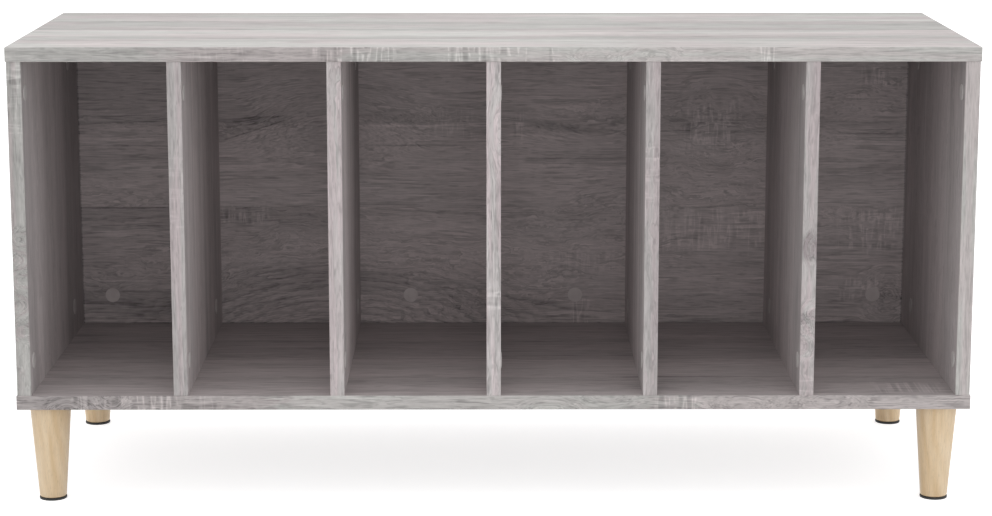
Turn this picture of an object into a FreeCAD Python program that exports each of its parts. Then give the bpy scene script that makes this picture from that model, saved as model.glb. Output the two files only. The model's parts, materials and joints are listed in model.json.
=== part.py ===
"""Record cabinet: an open carcass of wood-look board with six bays for record sleeves, on four turned legs.

Millimetres. The origin is on the floor at the middle of the footprint, +X runs to the right along the front,
+Y runs from the open front to the back panel and +Z is up.
"""

import FreeCAD
import Part
import os

from FreeCAD import Placement, Rotation, Vector
from math import sqrt

# Carcass boards
cabinet_width = 1000.0
cabinet_depth = 380.0
bay_height = 351.0
board = 15.0
bay_count = 6

# How far the top and bottom panels stand out past the boards between them, all round
panel_overhang = 1.0

# Edge bands glued on the board edges that show
band = 1.0
band_round_share = 0.6

# Turned legs
leg_length = 100.0
leg_head_diameter = 43.7
leg_foot_diameter = 28.0
leg_edge_round = 1.0
leg_inset_from_end = 31.0
leg_inset_from_front = 28.0

# Glides under the legs, each a disc with a stem pressed into the foot
glide_diameter = 29.0
glide_thickness = 2.5
glide_edge_round = 0.6
glide_stem_diameter = 6.0
glide_stem_length = 12.0

# Hanger bolts of the legs and the threaded inserts that take them in the bottom panel
hanger_bolt_diameter = 8.0
hanger_bolt_length_in_leg = 35.0
hanger_bolt_tip_length = 6.0
insert_wall = 2.0
insert_roof = 2.5

# Cam fittings: the cam lies in a board face, the bolt stands in the panel that the board's end meets
cam_diameter = 15.0
cam_wall = 2.0
cam_floor = 2.5
cam_distance_from_end = 34.0
cam_set_back = 0.3
cam_socket_length = 6.0
cam_socket_width = 1.6
cam_socket_depth = 2.4
bolt_thread_diameter = 5.0
bolt_head_diameter = 7.0
bolt_head_length = 2.4
bolt_neck_diameter = 3.8
bolt_shank_inside_bore = 0.5
bolt_roof = 4.0

# Cover caps over the cams
cap_diameter = 17.0
cap_thickness = 1.0
cap_edge_bevel = 0.3
cap_stem_diameter = 3.2
cap_stem_length = 2.0

# Wooden dowels beside the cam bolts
dowel_diameter = 8.0
dowel_length = 30.0
dowel_tip_bevel = 0.8
dowel_roof = 5.0

# Places of the fittings along the boards
cam_inset_from_front = 19.0
cam_inset_from_rear = 81.0
back_cam_inset_from_end = 35.0
back_cam_offset_from_middle = 97.0
dowel_pitch_from_cam = 32.0

# Play between fasteners and their bores, on the diameter or at the end, and the overrun of every cut
fastener_play = 0.1
bore_end_play = 0.5
overrun = 1.0

# Levels and planes worked out from the driving sizes
bottom_underside = glide_thickness + leg_length
bay_floor = bottom_underside + board
bay_ceiling = bay_floor + bay_height
top_surface = bay_ceiling + board
half_width = cabinet_width / 2
front_plane = -cabinet_depth / 2
rear_plane = cabinet_depth / 2
carcass_half_width = half_width - panel_overhang
carcass_front = front_plane + panel_overhang
carcass_rear = rear_plane - panel_overhang
back_panel_face = carcass_rear - board
band_round = band * band_round_share
board_middle = board / 2
side_middle = carcass_half_width - board_middle
bay_pitch = 2 * side_middle / bay_count

# Fitting sizes worked out from the board and the bolt
bolt_bore_diameter = bolt_head_diameter + 2 * bolt_shank_inside_bore
bolt_thread_length = board - bolt_roof
cam_radius = (cam_diameter - fastener_play) / 2
cam_cavity_radius = cam_radius - cam_wall
cam_pocket_depth = board - cam_floor
cam_underside = bore_end_play - cam_pocket_depth
cam_cavity_roof = bolt_head_diameter / 2 + bore_end_play - board_middle
bolt_shoulder = sqrt(cam_cavity_radius ** 2 - (bolt_head_diameter / 2) ** 2) - fastener_play
dowel_depth_in_panel = board - dowel_roof
dowel_depth_in_board = dowel_length - dowel_depth_in_panel
insert_diameter = hanger_bolt_diameter + 2 * insert_wall
insert_length = board - insert_roof

X_AXIS = Vector(1, 0, 0)
Y_AXIS = Vector(0, 1, 0)
Z_AXIS = Vector(0, 0, 1)


def export(node, *solids):
    """Write one node, a single solid or a group of separate ones."""
    shape = solids[0] if len(solids) == 1 else Part.makeCompound(list(solids))
    shape.exportStep("parts/" + node + ".step")


def block(low, high):
    """Box between two corners."""
    size = high - low
    return Part.makeBox(size.x, size.y, size.z, low)


def turned(outline):
    """Solid of revolution about Z from (radius, height) points that start and end on the axis."""
    points = [Vector(radius, 0, height) for radius, height in outline]
    return Part.Face(Part.makePolygon(points + points[:1])).revolve(Vector(), Z_AXIS, 360)


def rod(radius, start, end):
    """Cylinder on Z between two heights."""
    return Part.makeCylinder(radius, end - start, Vector(0, 0, start))


def is_upright(edge):
    """Whether a straight edge runs along Z."""
    start, end = [vertex.Point for vertex in edge.Vertexes]
    return (end - start).cross(Z_AXIS).Length < band


def placed(shape, placement):
    """Copy of a shape moved by a placement."""
    copy = shape.copy()
    copy.Placement = placement * shape.Placement
    return copy


def cut_all(shape, tools):
    """Shape with every tool cut away."""
    return shape.cut(Part.makeCompound(tools))


def fitting_frame(point, outward, to_end):
    """Placement with local Z along the board face's outward normal and local X towards the board's end."""
    return Placement(point, Rotation(to_end, outward.cross(to_end), outward, "ZXY"))


def along_local_x(shape):
    """Shape modelled on Z, laid on local X at the middle of the board's thickness."""
    lay_down = Rotation(-Z_AXIS, Y_AXIS, X_AXIS, "ZXY")
    return placed(shape, Placement(Vector(0, 0, -board_middle), lay_down))


# Cam fitting pieces in their local frame: the origin is on the board face over the cam


def make_cam_bolt():
    """Bolt with a flat head in the cam, a slim neck, a shank and a thread in the facing panel."""
    head_end = bolt_shoulder - bolt_head_length
    neck_end = cam_radius + bore_end_play
    thread_end = cam_distance_from_end + bolt_thread_length - bore_end_play
    thread_radius = (bolt_thread_diameter - fastener_play) / 2
    head_radius = bolt_head_diameter / 2
    neck_radius = bolt_neck_diameter / 2
    bevel = thread_radius / 2
    outline = [
        (0, head_end),
        (head_radius, head_end),
        (head_radius, bolt_shoulder),
        (neck_radius, bolt_shoulder),
        (neck_radius, neck_end),
        (head_radius, neck_end),
        (head_radius, cam_distance_from_end),
        (thread_radius, cam_distance_from_end),
        (thread_radius, thread_end - bevel),
        (thread_radius - bevel, thread_end),
        (0, thread_end),
    ]
    return along_local_x(turned(outline))


def make_cam_lock():
    """Cam housing with a driver socket on top, an open cavity for the bolt head and a slot for its neck."""
    body = rod(cam_radius, cam_underside, -cam_set_back)
    cavity = rod(cam_cavity_radius, cam_underside - overrun, cam_cavity_roof)
    slot_half = (bolt_neck_diameter + fastener_play) / 2
    slot = block(
        Vector(0, -slot_half, cam_underside - overrun),
        Vector(cam_radius + overrun, slot_half, slot_half - board_middle),
    )
    socket_floor = -cam_set_back - cam_socket_depth
    socket_low = Vector(-cam_socket_length / 2, -cam_socket_width / 2, socket_floor)
    socket_high = Vector(cam_socket_length / 2, cam_socket_width / 2, overrun)
    arm = block(socket_low, socket_high)
    cross_arm = placed(arm, Placement(Vector(), Rotation(Z_AXIS, 90)))
    stem_bore = rod((cap_stem_diameter + fastener_play) / 2, socket_floor, overrun)
    return cut_all(body, [cavity, slot, arm, cross_arm, stem_bore])


def make_cap():
    """Cover cap: a thin bevelled disc on the board face with a stem in the cam's socket."""
    radius = cap_diameter / 2
    stem = cap_stem_diameter / 2
    return turned([
        (0, -cap_stem_length),
        (stem, -cap_stem_length),
        (stem, 0),
        (radius, 0),
        (radius, cap_thickness - cap_edge_bevel),
        (radius - cap_edge_bevel, cap_thickness),
        (0, cap_thickness),
    ])


def make_dowel():
    """Wooden dowel with bevelled tips, a third in the facing panel and the rest in the board."""
    start = cam_distance_from_end - dowel_depth_in_board
    end = cam_distance_from_end + dowel_depth_in_panel
    radius = dowel_diameter / 2
    tip = radius - dowel_tip_bevel
    outline = [
        (0, start),
        (tip, start),
        (radius, start + dowel_tip_bevel),
        (radius, end - dowel_tip_bevel),
        (tip, end),
        (0, end),
    ]
    return along_local_x(turned(outline))


def make_cam_pocket():
    """Cut in the board for the cam and for the bolt, which comes in from the board's end."""
    pocket = rod(cam_diameter / 2, -cam_pocket_depth, overrun)
    return pocket.fuse(along_local_x(rod(bolt_bore_diameter / 2, 0, cam_distance_from_end + overrun)))


def make_thread_bore():
    """Cut in the facing panel for the bolt's thread."""
    start = cam_distance_from_end - overrun
    return along_local_x(rod(bolt_thread_diameter / 2, start, cam_distance_from_end + bolt_thread_length))


def make_dowel_bore():
    """Cut for the dowel through the joint, into the board and into the facing panel."""
    start = cam_distance_from_end - dowel_depth_in_board - bore_end_play
    end = cam_distance_from_end + dowel_depth_in_panel + bore_end_play
    return along_local_x(rod((dowel_diameter + fastener_play) / 2, start, end))


CAM_LOCK = make_cam_lock()
CAM_BOLT = make_cam_bolt()
CAP = make_cap()
DOWEL = make_dowel()
CAM_POCKET = make_cam_pocket()
THREAD_BORE = make_thread_bore()
DOWEL_BORE = make_dowel_bore()


def both_ends(board_face, outward, dowel_step):
    """Cam frame and dowel frame at the lower and upper end of a board that stands between the panels."""
    frames = []
    for end_level, to_end in ((bay_floor, -Z_AXIS), (bay_ceiling, Z_AXIS)):
        point = Vector(board_face.x, board_face.y, end_level) - to_end * cam_distance_from_end
        cam_frame = fitting_frame(point, outward, to_end)
        dowel_frame = fitting_frame(point + dowel_step, outward, to_end)
        frames.append((cam_frame, dowel_frame))
    return frames


def upright_frames(middle_x, outward):
    """Frames of the fittings in a side or divider, near the front and near the rear."""
    face_x = middle_x + outward.x * board_middle
    front_cam = Vector(face_x, carcass_front + cam_inset_from_front, 0)
    rear_cam = Vector(face_x, carcass_rear - cam_inset_from_rear, 0)
    dowel_step = Y_AXIS * dowel_pitch_from_cam
    return both_ends(front_cam, outward, dowel_step) + both_ends(rear_cam, outward, -dowel_step)


def back_frames():
    """Frames of the fittings in the back panel, two in each half."""
    outer = carcass_half_width - board - back_cam_inset_from_end
    inner = back_cam_offset_from_middle
    dowel_step = X_AXIS * dowel_pitch_from_cam
    frames = []
    for side in (-1, 1):
        for cam_x, step in ((outer, dowel_step * -side), (inner, dowel_step * side)):
            frames += both_ends(Vector(side * cam_x, back_panel_face, 0), -Y_AXIS, step)
    return frames


def bored(board_shape, frames):
    """Board with the pockets of its cams and the bores of its bolts and dowels."""
    tools = []
    for cam_frame, dowel_frame in frames:
        tools.append(placed(CAM_POCKET, cam_frame))
        tools.append(placed(DOWEL_BORE, dowel_frame))
    return cut_all(board_shape, tools)


def export_fittings(group, frames):
    """One node for each kind of fitting piece, as a group of separate solids."""
    cam_frames = [cam_frame for cam_frame, dowel_frame in frames]
    dowel_frames = [dowel_frame for cam_frame, dowel_frame in frames]
    export(group + "_cam_locks", *[placed(CAM_LOCK, frame) for frame in cam_frames])
    export(group + "_cam_bolts", *[placed(CAM_BOLT, frame) for frame in cam_frames])
    export(group + "_cover_caps", *[placed(CAP, frame) for frame in cam_frames])
    export(group + "_dowels", *[placed(DOWEL, frame) for frame in dowel_frames])


# Upright boards


def export_upright(node, middle_x, depth_end, banded_rear, frames):
    """Side or divider: a bored board with a band on its front edge and, on a side, one on its rear edge."""
    low = Vector(middle_x - board_middle, carcass_front, bay_floor)
    high = Vector(middle_x + board_middle, depth_end, bay_ceiling)
    whole = block(low, high)
    rounded = whole.makeFillet(band_round, [edge for edge in whole.Edges if is_upright(edge)])
    core_end = depth_end - band if banded_rear else depth_end
    core = block(Vector(low.x, low.y + band, low.z), Vector(high.x, core_end, high.z))
    export(node, bored(core, frames))
    front_strip = block(low, Vector(high.x, low.y + band, high.z))
    export(node + "_band_front", rounded.common(front_strip))
    if banded_rear:
        export(node + "_band_rear", rounded.common(block(Vector(low.x, core_end, low.z), high)))


def export_uprights():
    """Two sides, the dividers between them and the fittings of both."""
    side_frames = []
    for node, middle_x, outward in (
        ("left_side_panel", -side_middle, X_AXIS),
        ("right_side_panel", side_middle, -X_AXIS),
    ):
        frames = upright_frames(middle_x, outward)
        export_upright(node, middle_x, carcass_rear, True, frames)
        side_frames += frames
    export_fittings("side", side_frames)
    divider_frames = []
    for number in range(1, bay_count):
        middle_x = number * bay_pitch - side_middle
        outward = X_AXIS if number <= bay_count / 2 else -X_AXIS
        frames = upright_frames(middle_x, outward)
        export_upright("divider_" + str(number), middle_x, back_panel_face, False, frames)
        divider_frames += frames
    export_fittings("divider", divider_frames)
    return side_frames + divider_frames


def export_back_panel():
    """Back panel between the sides, flush with their rear edges."""
    frames = back_frames()
    inner_half = carcass_half_width - board
    low = Vector(-inner_half, back_panel_face, bay_floor)
    high = Vector(inner_half, carcass_rear, bay_ceiling)
    export("back_panel", bored(block(low, high), frames))
    export_fittings("back", frames)
    return frames


# Top and bottom panels


def export_panel(node, underside, cuts):
    """Full-width panel: a bored core and a band on each of its four edges."""
    low = Vector(-half_width, front_plane, underside)
    high = Vector(half_width, rear_plane, underside + board)
    whole = block(low, high)
    rounded = whole.makeFillet(band_round, whole.Edges)
    core_low = Vector(low.x + band, low.y + band, low.z)
    core_high = Vector(high.x - band, high.y - band, high.z)
    export(node, cut_all(block(core_low, core_high), cuts))
    strips = {
        "front": (low, Vector(high.x, core_low.y, high.z)),
        "rear": (Vector(low.x, core_high.y, low.z), high),
        "left": (Vector(low.x, core_low.y, low.z), Vector(core_low.x, core_high.y, high.z)),
        "right": (Vector(core_high.x, core_low.y, low.z), Vector(high.x, core_high.y, high.z)),
    }
    for edge, (strip_low, strip_high) in strips.items():
        export(node + "_band_" + edge, rounded.common(block(strip_low, strip_high)))


def leg_points():
    """Leg axes on the underside of the bottom panel, by corner name."""
    reach_x = half_width - leg_inset_from_end
    reach_y = rear_plane - leg_inset_from_front
    return {
        "front_left": Vector(-reach_x, -reach_y, bottom_underside),
        "front_right": Vector(reach_x, -reach_y, bottom_underside),
        "rear_left": Vector(-reach_x, reach_y, bottom_underside),
        "rear_right": Vector(reach_x, reach_y, bottom_underside),
    }


def export_panels(frames):
    """Top and bottom panels, each bored for the bolts and dowels that stand in it."""
    bores = []
    for cam_frame, dowel_frame in frames:
        bores.append(placed(THREAD_BORE, cam_frame))
        bores.append(placed(DOWEL_BORE, dowel_frame))
    insert_bore = rod((insert_diameter + fastener_play) / 2, -overrun, insert_length + bore_end_play)
    insert_bores = [placed(insert_bore, Placement(point, Rotation())) for point in leg_points().values()]
    export_panel("bottom_panel", bottom_underside, bores + insert_bores)
    export_panel("top_panel", bay_ceiling, bores)


# Legs, glides and what fastens them


def make_leg():
    """Tapered leg below its mounting face, bored for the hanger bolt and for the glide's stem."""
    body = Part.makeCone(leg_foot_diameter / 2, leg_head_diameter / 2, leg_length, Vector(0, 0, -leg_length))
    rims = [edge for edge in body.Edges if edge.Closed]
    body = body.makeFillet(leg_edge_round, rims)
    bolt_bore = rod(
        (hanger_bolt_diameter + fastener_play) / 2, -hanger_bolt_length_in_leg - bore_end_play, overrun
    )
    stem_end = glide_stem_length + bore_end_play - leg_length
    stem_bore = rod((glide_stem_diameter + fastener_play) / 2, -leg_length - overrun, stem_end)
    return cut_all(body, [bolt_bore, stem_bore])


def make_glide():
    """Glide below the leg's foot, with its stem standing up into the leg."""
    underside = -leg_length - glide_thickness
    disc = rod(glide_diameter / 2, underside, -leg_length)
    rims = [edge for edge in disc.Edges if edge.Closed and edge.CenterOfMass.z < underside + glide_edge_round]
    disc = disc.makeFillet(glide_edge_round, rims)
    return disc.fuse(rod(glide_stem_diameter / 2, -leg_length, glide_stem_length - leg_length))


def make_hanger_bolt():
    """Bolt with a pointed wood thread in the leg and a machine thread in the insert."""
    radius = hanger_bolt_diameter / 2
    wood_end = -hanger_bolt_length_in_leg
    return turned([
        (0, wood_end),
        (radius, wood_end + hanger_bolt_tip_length),
        (radius, insert_length),
        (0, insert_length),
    ])


def make_insert():
    """Threaded insert, flush with the underside of the bottom panel."""
    body = rod(insert_diameter / 2, 0, insert_length)
    return body.cut(rod((hanger_bolt_diameter + fastener_play) / 2, -overrun, insert_length + overrun))


def export_legs():
    """Four legs and glides as nodes of their own, and their bolts and inserts as groups."""
    leg = make_leg()
    glide = make_glide()
    hanger_bolt = make_hanger_bolt()
    insert = make_insert()
    corners = {name: Placement(point, Rotation()) for name, point in leg_points().items()}
    for name, corner in corners.items():
        export("leg_" + name, placed(leg, corner))
        export("glide_" + name, placed(glide, corner))
    export("hanger_bolts", *[placed(hanger_bolt, corner) for corner in corners.values()])
    export("threaded_inserts", *[placed(insert, corner) for corner in corners.values()])


os.makedirs("parts", exist_ok=True)
all_frames = export_uprights() + export_back_panel()
export_panels(all_frames)
export_legs()
print("bay pitch", bay_pitch, "top surface", top_surface)
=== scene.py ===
"""Looks of the record cabinet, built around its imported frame.

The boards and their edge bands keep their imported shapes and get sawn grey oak
finishes, each cut from its own place in the pattern. The turned legs, the floor
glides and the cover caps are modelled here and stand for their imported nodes.
Lengths are in metres. X runs along the cabinet's front, Y to its rear, Z up.
"""

import json
import logging
import math
from collections.abc import Iterator
from contextlib import contextmanager
from dataclasses import dataclass, field, fields, replace
from enum import Enum
from functools import cached_property

import bpy
from mathutils import Matrix, Vector

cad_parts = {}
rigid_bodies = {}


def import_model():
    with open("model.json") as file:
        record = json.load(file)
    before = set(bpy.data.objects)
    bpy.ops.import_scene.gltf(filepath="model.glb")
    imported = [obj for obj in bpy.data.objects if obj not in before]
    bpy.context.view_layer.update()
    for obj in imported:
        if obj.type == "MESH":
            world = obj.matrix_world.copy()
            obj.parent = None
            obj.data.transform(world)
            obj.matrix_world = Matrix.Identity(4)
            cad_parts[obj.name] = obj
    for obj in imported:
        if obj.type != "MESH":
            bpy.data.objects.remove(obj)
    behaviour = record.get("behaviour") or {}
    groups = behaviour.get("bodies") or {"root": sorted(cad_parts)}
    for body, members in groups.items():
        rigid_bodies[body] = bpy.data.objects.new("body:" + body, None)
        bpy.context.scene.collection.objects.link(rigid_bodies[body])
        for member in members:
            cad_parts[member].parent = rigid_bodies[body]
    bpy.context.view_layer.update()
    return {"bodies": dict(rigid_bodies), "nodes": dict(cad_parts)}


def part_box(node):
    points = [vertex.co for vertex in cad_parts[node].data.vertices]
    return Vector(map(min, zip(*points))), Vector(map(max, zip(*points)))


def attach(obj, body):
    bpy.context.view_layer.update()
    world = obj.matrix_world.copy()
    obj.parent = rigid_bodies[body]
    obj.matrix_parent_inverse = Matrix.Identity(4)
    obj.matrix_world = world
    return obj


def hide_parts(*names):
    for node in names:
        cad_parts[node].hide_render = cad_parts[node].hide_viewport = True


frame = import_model()

LOG = logging.getLogger("record_cabinet")
BODY = next(iter(frame["bodies"]))
IMAGE_WIDTH = 992
SENSOR_WIDTH_MM = 36.0
POINTS_PER_METRE = 1e6
# A face with more sides than this is the flat end of a round piece.
FEW_SIDES = 8
# Rims sharper than the first angle are rounded, and edges under the second shade smooth.
SHARP_RIM = math.radians(50)
BLUNT_EDGE = math.radians(35)

Triple = tuple[float, float, float]
Pair = tuple[float, float]
Colour = tuple[float, float, float, float]


def tint(*levels: int) -> Colour:
    """Turns a colour as seen on a screen into the linear colour that a shader takes.

    Args:
        *levels: Red, green and blue, from 0 to 255.

    Returns:
        The linear colour, with an alpha of 1.
    """
    shares = (level / 255 for level in levels)
    return (*(s / 12.92 if s <= 0.04045 else ((s + 0.055) / 1.055) ** 2.4 for s in shares), 1.0)


class Grain(Enum):
    """Which way a board's grain runs, as rows that turn the cabinet's axes into the pattern's.

    The pattern's X runs along the grain, its Y across the visible face, its Z into it.
    """

    ALONG_WIDTH_FLAT = ((1, 0, 0), (0, 1, 0), (0, 0, 1))
    ALONG_WIDTH_UPRIGHT = ((1, 0, 0), (0, 0, 1), (0, -1, 0))
    ALONG_HEIGHT_SIDE = ((0, 0, 1), (0, 1, 0), (-1, 0, 0))
    ALONG_HEIGHT_FRONT = ((0, 0, 1), (1, 0, 0), (0, 1, 0))
    ALONG_DEPTH = ((0, 1, 0), (0, 0, 1), (1, 0, 0))

    def turn(self) -> Triple:
        """Returns the Mapping node's rotation for this grain."""
        return tuple(Matrix(self.value).to_euler())


class Greys(Enum):
    """The print's cool grey and its pinker one, by where a board is in the cabinet; the pairs for
    faces inside it are painted shade.
    """

    # The outer and middle pairs are the print as lit; the inner and wall pairs are pinker copies
    # of it for faces inside the cabinet, painted to stand for how the print looks in shade.
    OUTER = (tint(193, 191, 188), tint(196, 188, 187))
    MIDDLE = (tint(193, 188, 187), tint(198, 187, 188))
    INNER = (tint(198, 189, 189), tint(202, 192, 192))
    WALL = (tint(197, 190, 190), tint(200, 192, 192))


class Signal:
    """An output of a node tree that arithmetic carries on into further Math nodes."""

    def __init__(self, graph: "Graph", socket: bpy.types.NodeSocket) -> None:
        """Keeps the tree's graph and the output."""
        self.graph = graph
        self.socket = socket

    def __add__(self, other: "Value") -> "Signal":
        """Returns the sum."""
        return self.graph.math("ADD", self, other)

    def __sub__(self, other: "Value") -> "Signal":
        """Returns the difference."""
        return self.graph.math("SUBTRACT", self, other)

    def __mul__(self, other: "Value") -> "Signal":
        """Returns the product."""
        return self.graph.math("MULTIPLY", self, other)

    def __truediv__(self, other: "Value") -> "Signal":
        """Returns the quotient."""
        return self.graph.math("DIVIDE", self, other)

    def size(self) -> "Signal":
        """Returns the value without its sign."""
        return self.graph.math("ABSOLUTE", self)

    def most(self, other: "Value") -> "Signal":
        """Returns the larger of two values."""
        return self.graph.math("MAXIMUM", self, other)

    def inverse(self) -> "Signal":
        """Returns one less the value."""
        return self.graph.math("SUBTRACT", 1.0, self)

    def ease(self, low: "Value", high: "Value") -> "Signal":
        """Returns 0 below low, 1 above high, and a soft step between."""
        return self.graph.run(
            "ShaderNodeMapRange", self, low, high, interpolation_type="SMOOTHSTEP")

    def fade(self, low: "Value", high: "Value") -> "Signal":
        """Returns 1 below low, 0 above high, and a soft step between."""
        return self.ease(low, high).inverse()


Value = Signal | float


class Graph:
    """Lays nodes into one node tree and joins them."""

    COLUMN_STEP = 190

    def __init__(self, tree: bpy.types.NodeTree) -> None:
        """Keeps the tree."""
        self.tree = tree

    def add(self, kind: str, **settings: object) -> bpy.types.Node:
        """Adds a node to the right of the others.

        Args:
            kind: The node's type name.
            **settings: Properties to set on it.

        Returns:
            The new node.
        """
        node = self.tree.nodes.new(kind)
        node.location.x = self.COLUMN_STEP * len(self.tree.nodes)
        for name, setting in settings.items():
            setattr(node, name, setting)
        return node

    def feed(self, socket: bpy.types.NodeSocket, value: object) -> None:
        """Links a signal to a socket, or sets the socket's own value.

        Args:
            socket: The socket.
            value: The signal or the value.
        """
        if isinstance(value, Signal):
            self.tree.links.new(value.socket, socket)
        else:
            socket.default_value = value

    def run(self, kind: str, *values: object, **settings: object) -> Signal:
        """Adds a node and feeds the inputs that its settings leave in use.

        Args:
            kind: The node's type name.
            *values: What feeds the inputs, in their order.
            **settings: Properties to set on it.

        Returns:
            Its first output in use.
        """
        node = self.add(kind, **settings)
        for socket, value in zip((s for s in node.inputs if s.enabled), values):
            self.feed(socket, value)
        return Signal(self, next(s for s in node.outputs if s.enabled))

    def math(self, operation: str, *operands: Value) -> Signal:
        """Returns the result of a Math node."""
        return self.run("ShaderNodeMath", *operands, operation=operation)

    def vector(self, operation: str, *operands: object) -> Signal:
        """Returns the vector of a Vector Math node."""
        return self.run("ShaderNodeVectorMath", *operands, operation=operation)

    def join(self, *parts: Value) -> Signal:
        """Returns a vector of three parts."""
        return self.run("ShaderNodeCombineXYZ", *parts)

    def parts(self, vector: Signal) -> tuple[Signal, ...]:
        """Returns a vector's three parts."""
        first = self.run("ShaderNodeSeparateXYZ", vector)
        return tuple(Signal(self, output) for output in first.socket.node.outputs)

    def stretch(self, position: Signal, along: Value, across: Value) -> Signal:
        """Returns a position scaled along the grain and across it."""
        return self.vector("MULTIPLY", position, self.join(along, across, across))

    def noise(self, position: Signal, along: float, across: float, detail: float = 2.0,
              rough: float = 0.5, shift: Triple = (0.0, 0.0, 0.0)) -> Signal:
        """Returns smooth noise about one half, in 0 to 1.

        Args:
            position: Where the noise is read.
            along: How many features there are in a unit along the grain.
            across: How many there are across it.
            detail: How many finer layers are laid over the first.
            rough: How strong each finer layer is beside the one before.
            shift: Moves the noise by this many features.

        Returns:
            The noise's value.
        """
        scaled = self.vector("MULTIPLY_ADD", position, (along, across, across), shift)
        return self.run("ShaderNodeTexNoise", scaled, 1.0, detail, rough)

    def mix(self, factor: Value, first: object, second: object) -> Signal:
        """Returns the mix of two colours."""
        return self.run("ShaderNodeMix", factor, first, second, data_type="RGBA")

    def shade(self, colour: Signal, strength: Value) -> Signal:
        """Returns a colour made lighter or darker by a strength about 1."""
        return self.vector("SCALE", colour, strength)


class Skin(Graph):
    """The nodes of one new material, round its Principled shader."""

    def __init__(self, name: str) -> None:
        """Starts a material.

        Args:
            name: The material's name.
        """
        self.material = bpy.data.materials.new(name)
        self.material.use_nodes = True
        super().__init__(self.material.node_tree)
        self.shader = self.tree.nodes["Principled BSDF"]

    @cached_property
    def coordinates(self) -> Signal:
        """The cabinet's coordinates, which every finished piece has as its own."""
        return Signal(self, self.add("ShaderNodeTexCoord").outputs["Object"])

    def turned(self, grain: Grain, shift: Triple = (0.0, 0.0, 0.0)) -> Signal:
        """Returns the coordinates turned to a grain and moved by a shift."""
        return self.run("ShaderNodeMapping", self.coordinates, shift, grain.turn())

    def paint(self, name: str, value: object) -> None:
        """Feeds the shader's input of this name."""
        self.feed(self.shader.inputs[name], value)

    def bump(self, height: Signal, strength: float, distance: float) -> None:
        """Raises the surface by a height.

        Args:
            height: The height, in 0 to 1.
            strength: How strongly it shows.
            distance: How far the height reaches, in metres.
        """
        node = self.add("ShaderNodeBump")
        for name, value in (("Strength", strength), ("Distance", distance), ("Height", height)):
            self.feed(node.inputs[name], value)
        self.paint("Normal", Signal(self, node.outputs["Normal"]))


def open_input() -> Signal:
    """Returns a field that stays open until its effect is placed."""
    return field(default=None, kw_only=True)


@dataclass(frozen=True)
class Effect:
    """A node group that several finishes place, each with its own values.

    Its fields are the group's inputs. A finish's effect holds numbers in them, and while the
    group is drawn they hold the signals that come in.

    Attributes:
        position: Where the effect is seen, turned to the grain.
    """

    position: Signal = open_input()

    def draw(self, graph: Graph) -> dict[str, Signal]:
        """Lays the effect's own nodes.

        Args:
            graph: The group's graph.

        Returns:
            The group's outputs by name.
        """
        raise NotImplementedError

    def place(self, graph: Graph, **signals: Signal) -> tuple[Signal, ...]:
        """Places the effect in a finish.

        Args:
            graph: The finish's graph.
            **signals: What feeds the open fields. Names that the effect lacks are passed over.

        Returns:
            The group's outputs, in order.
        """
        node = graph.add("ShaderNodeGroup", node_tree=self._group())
        for entry in fields(self):
            graph.feed(node.inputs[entry.name], signals.get(entry.name, getattr(self, entry.name)))
        return tuple(Signal(graph, output) for output in node.outputs)

    @classmethod
    def _group(cls) -> bpy.types.NodeTree:
        """Finds the effect's node group, and draws it at its first use.

        Returns:
            The group.
        """
        if cls.__name__ in bpy.data.node_groups:
            return bpy.data.node_groups[cls.__name__]
        tree = bpy.data.node_groups.new(cls.__name__, "ShaderNodeTree")
        names = [entry.name for entry in fields(cls)]
        for name in names:
            kind = "NodeSocketVector" if name == "position" else "NodeSocketFloat"
            tree.interface.new_socket(name, in_out="INPUT", socket_type=kind)
        graph = Graph(tree)
        inputs = graph.add("NodeGroupInput").outputs
        results = cls(**{name: Signal(graph, inputs[name]) for name in names}).draw(graph)
        for name in results:
            tree.interface.new_socket(name, in_out="OUTPUT", socket_type="NodeSocketFloat")
        outputs = graph.add("NodeGroupOutput").inputs
        for name, result in results.items():
            graph.feed(outputs[name], result)
        return tree


@dataclass(frozen=True)
class OakFlow(Effect):
    """How far the grain wanders across its own direction, calm here and stirred up there.

    Attributes:
        sway: How far it wanders slowly, in metres.
        swirl: How far it curls in stirred places, in metres.
        jag: How jagged its lines are, in metres.
    """

    sway: Value = 0.010
    swirl: Value = 0.030
    jag: Value = 0.004

    # How much of the curl and of the jag is left in calm places.
    CALM_CURL = 0.12
    CALM_JAG = 0.22

    def draw(self, graph: Graph) -> dict[str, Signal]:
        """Adds a slow sway, a curl in stirred places and a fine jagged edge.

        Args:
            graph: The group's graph.

        Returns:
            The grain's shift, in metres.
        """
        sway = graph.noise(self.position, 2.6, 9.0, 1.0) - 0.5
        stir = graph.noise(self.position, 4.5, 13.0, 1.0, 0.5, (9.4, 3.3, 2.8)).ease(0.47, 0.64)
        curl = graph.noise(self.position, 15.0, 36.0, 1.5, 0.5, (4.4, 7.9, 0.6)) - 0.5
        jag = graph.noise(self.position, 95.0, 130.0, 1.0, 0.5, (0.9, 5.1, 6.2)) - 0.5
        return {"shift": sway * self.sway + curl * self.swirl * (stir + self.CALM_CURL)
                + jag * self.jag * (stir + self.CALM_JAG)}


@dataclass(frozen=True)
class OakStreaks(Effect):
    """Broad soft streaks along the grain, and the places where the grey blushes.

    Attributes:
        per_metre: How many streaks lie across a metre.
    """

    per_metre: Value = 24.0

    def draw(self, graph: Graph) -> dict[str, Signal]:
        """Lays two slow noises, stretched along the grain.

        Args:
            graph: The group's graph.

        Returns:
            The streaks' tone and the blush, in 0 to 1.
        """
        slow = graph.stretch(self.position, 1.0, self.per_metre)
        blush = graph.noise(slow, 6.0, 0.8, 1.5, 0.5, (7.3, 2.1, 5.7))
        return {"tone": graph.noise(slow, 2.2, 1.0, 2.5, 0.65).ease(0.34, 0.66),
                "blush": blush.ease(0.40, 0.60)}


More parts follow.
